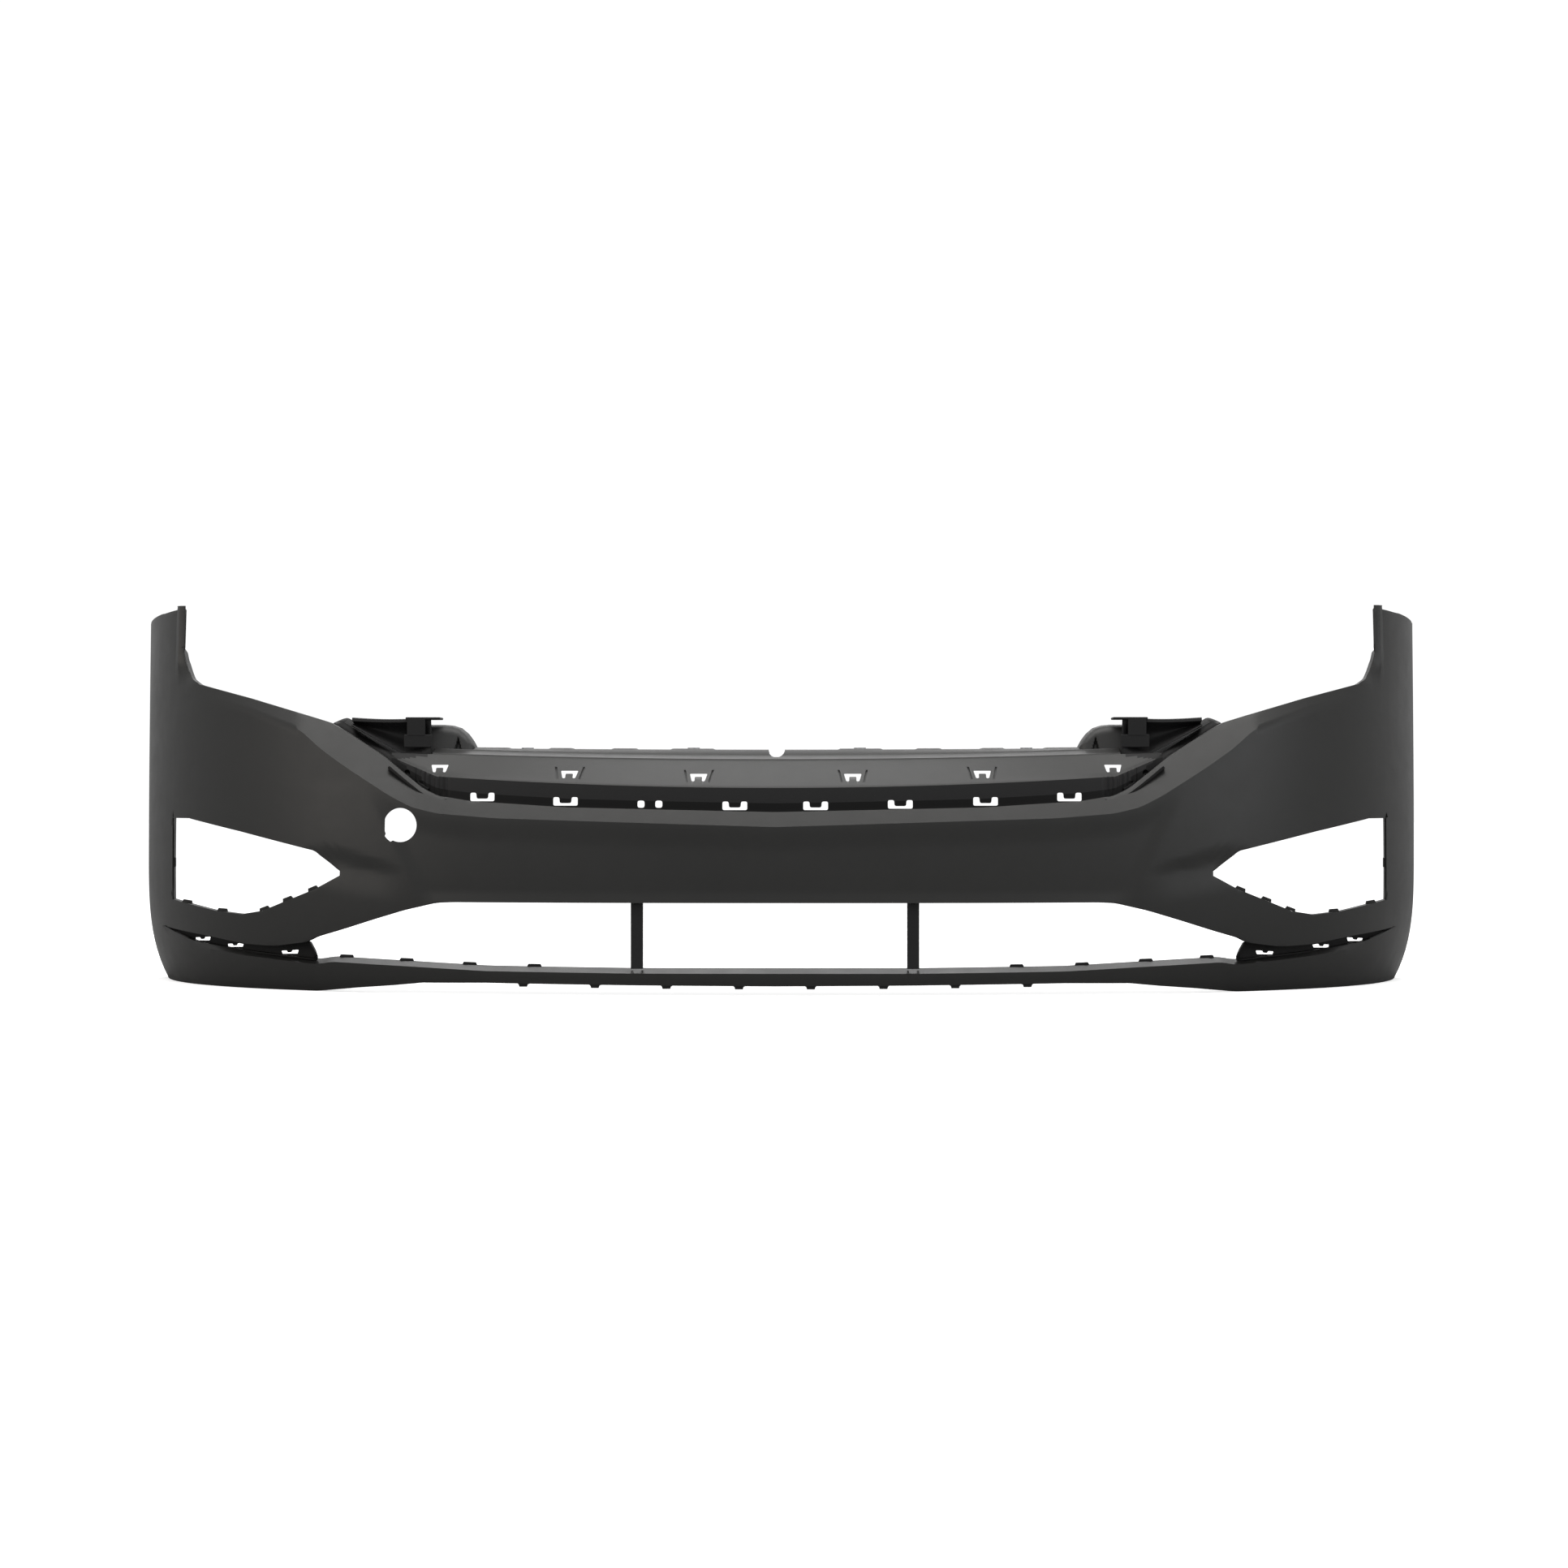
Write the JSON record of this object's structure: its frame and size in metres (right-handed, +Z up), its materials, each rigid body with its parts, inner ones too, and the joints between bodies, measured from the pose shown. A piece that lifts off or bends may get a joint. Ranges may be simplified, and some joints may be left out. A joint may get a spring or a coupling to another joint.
{
  "type": "front bumper cover",
  "caption": "Bare front bumper cover of a saloon car: thin dark grey skin with fog-lamp and grille openings, black grille shelf, headlamp supports, trim channels and fixings",
  "frame": {"origin": "on the floor below the middle of the cover's bounding box", "axes": "+X to the right seen from the front, along the width; -Y is the front; +Z up"},
  "size_m": [1.794, 0.592, 0.514],
  "materials": {
    "primed_skin": "satin dark grey primer",
    "black_carrier": "fine grained black moulding",
    "black_rivet": "smooth black nylon",
    "plated_steel": "dull zinc plating"
  },
  "bodies": {
    "root": {"fascia_skin": "primed_skin", "grille_shelf": "black_carrier", "mounting_flange": "black_carrier", "bolt_sleeves": "plated_steel", "shelf_rivets": "black_rivet", "left_side_rail": "black_carrier", "right_side_rail": "black_carrier", "left_headlamp_support": "black_carrier", "right_headlamp_support": "black_carrier", "left_lamp_bracket": "black_carrier", "right_lamp_bracket": "black_carrier", "left_lamp_cap": "black_carrier", "right_lamp_cap": "black_carrier", "left_tie_strut": "black_carrier", "right_tie_strut": "black_carrier", "strut_rivets": "black_rivet", "left_trim_channel": "black_carrier", "right_trim_channel": "black_carrier", "left_fog_catches": "primed_skin", "right_fog_catches": "primed_skin", "lip_catches": "primed_skin", "undertray_nuts": "plated_steel", "left_arch_nuts": "plated_steel", "right_arch_nuts": "plated_steel"}
  },
  "joints": []
}
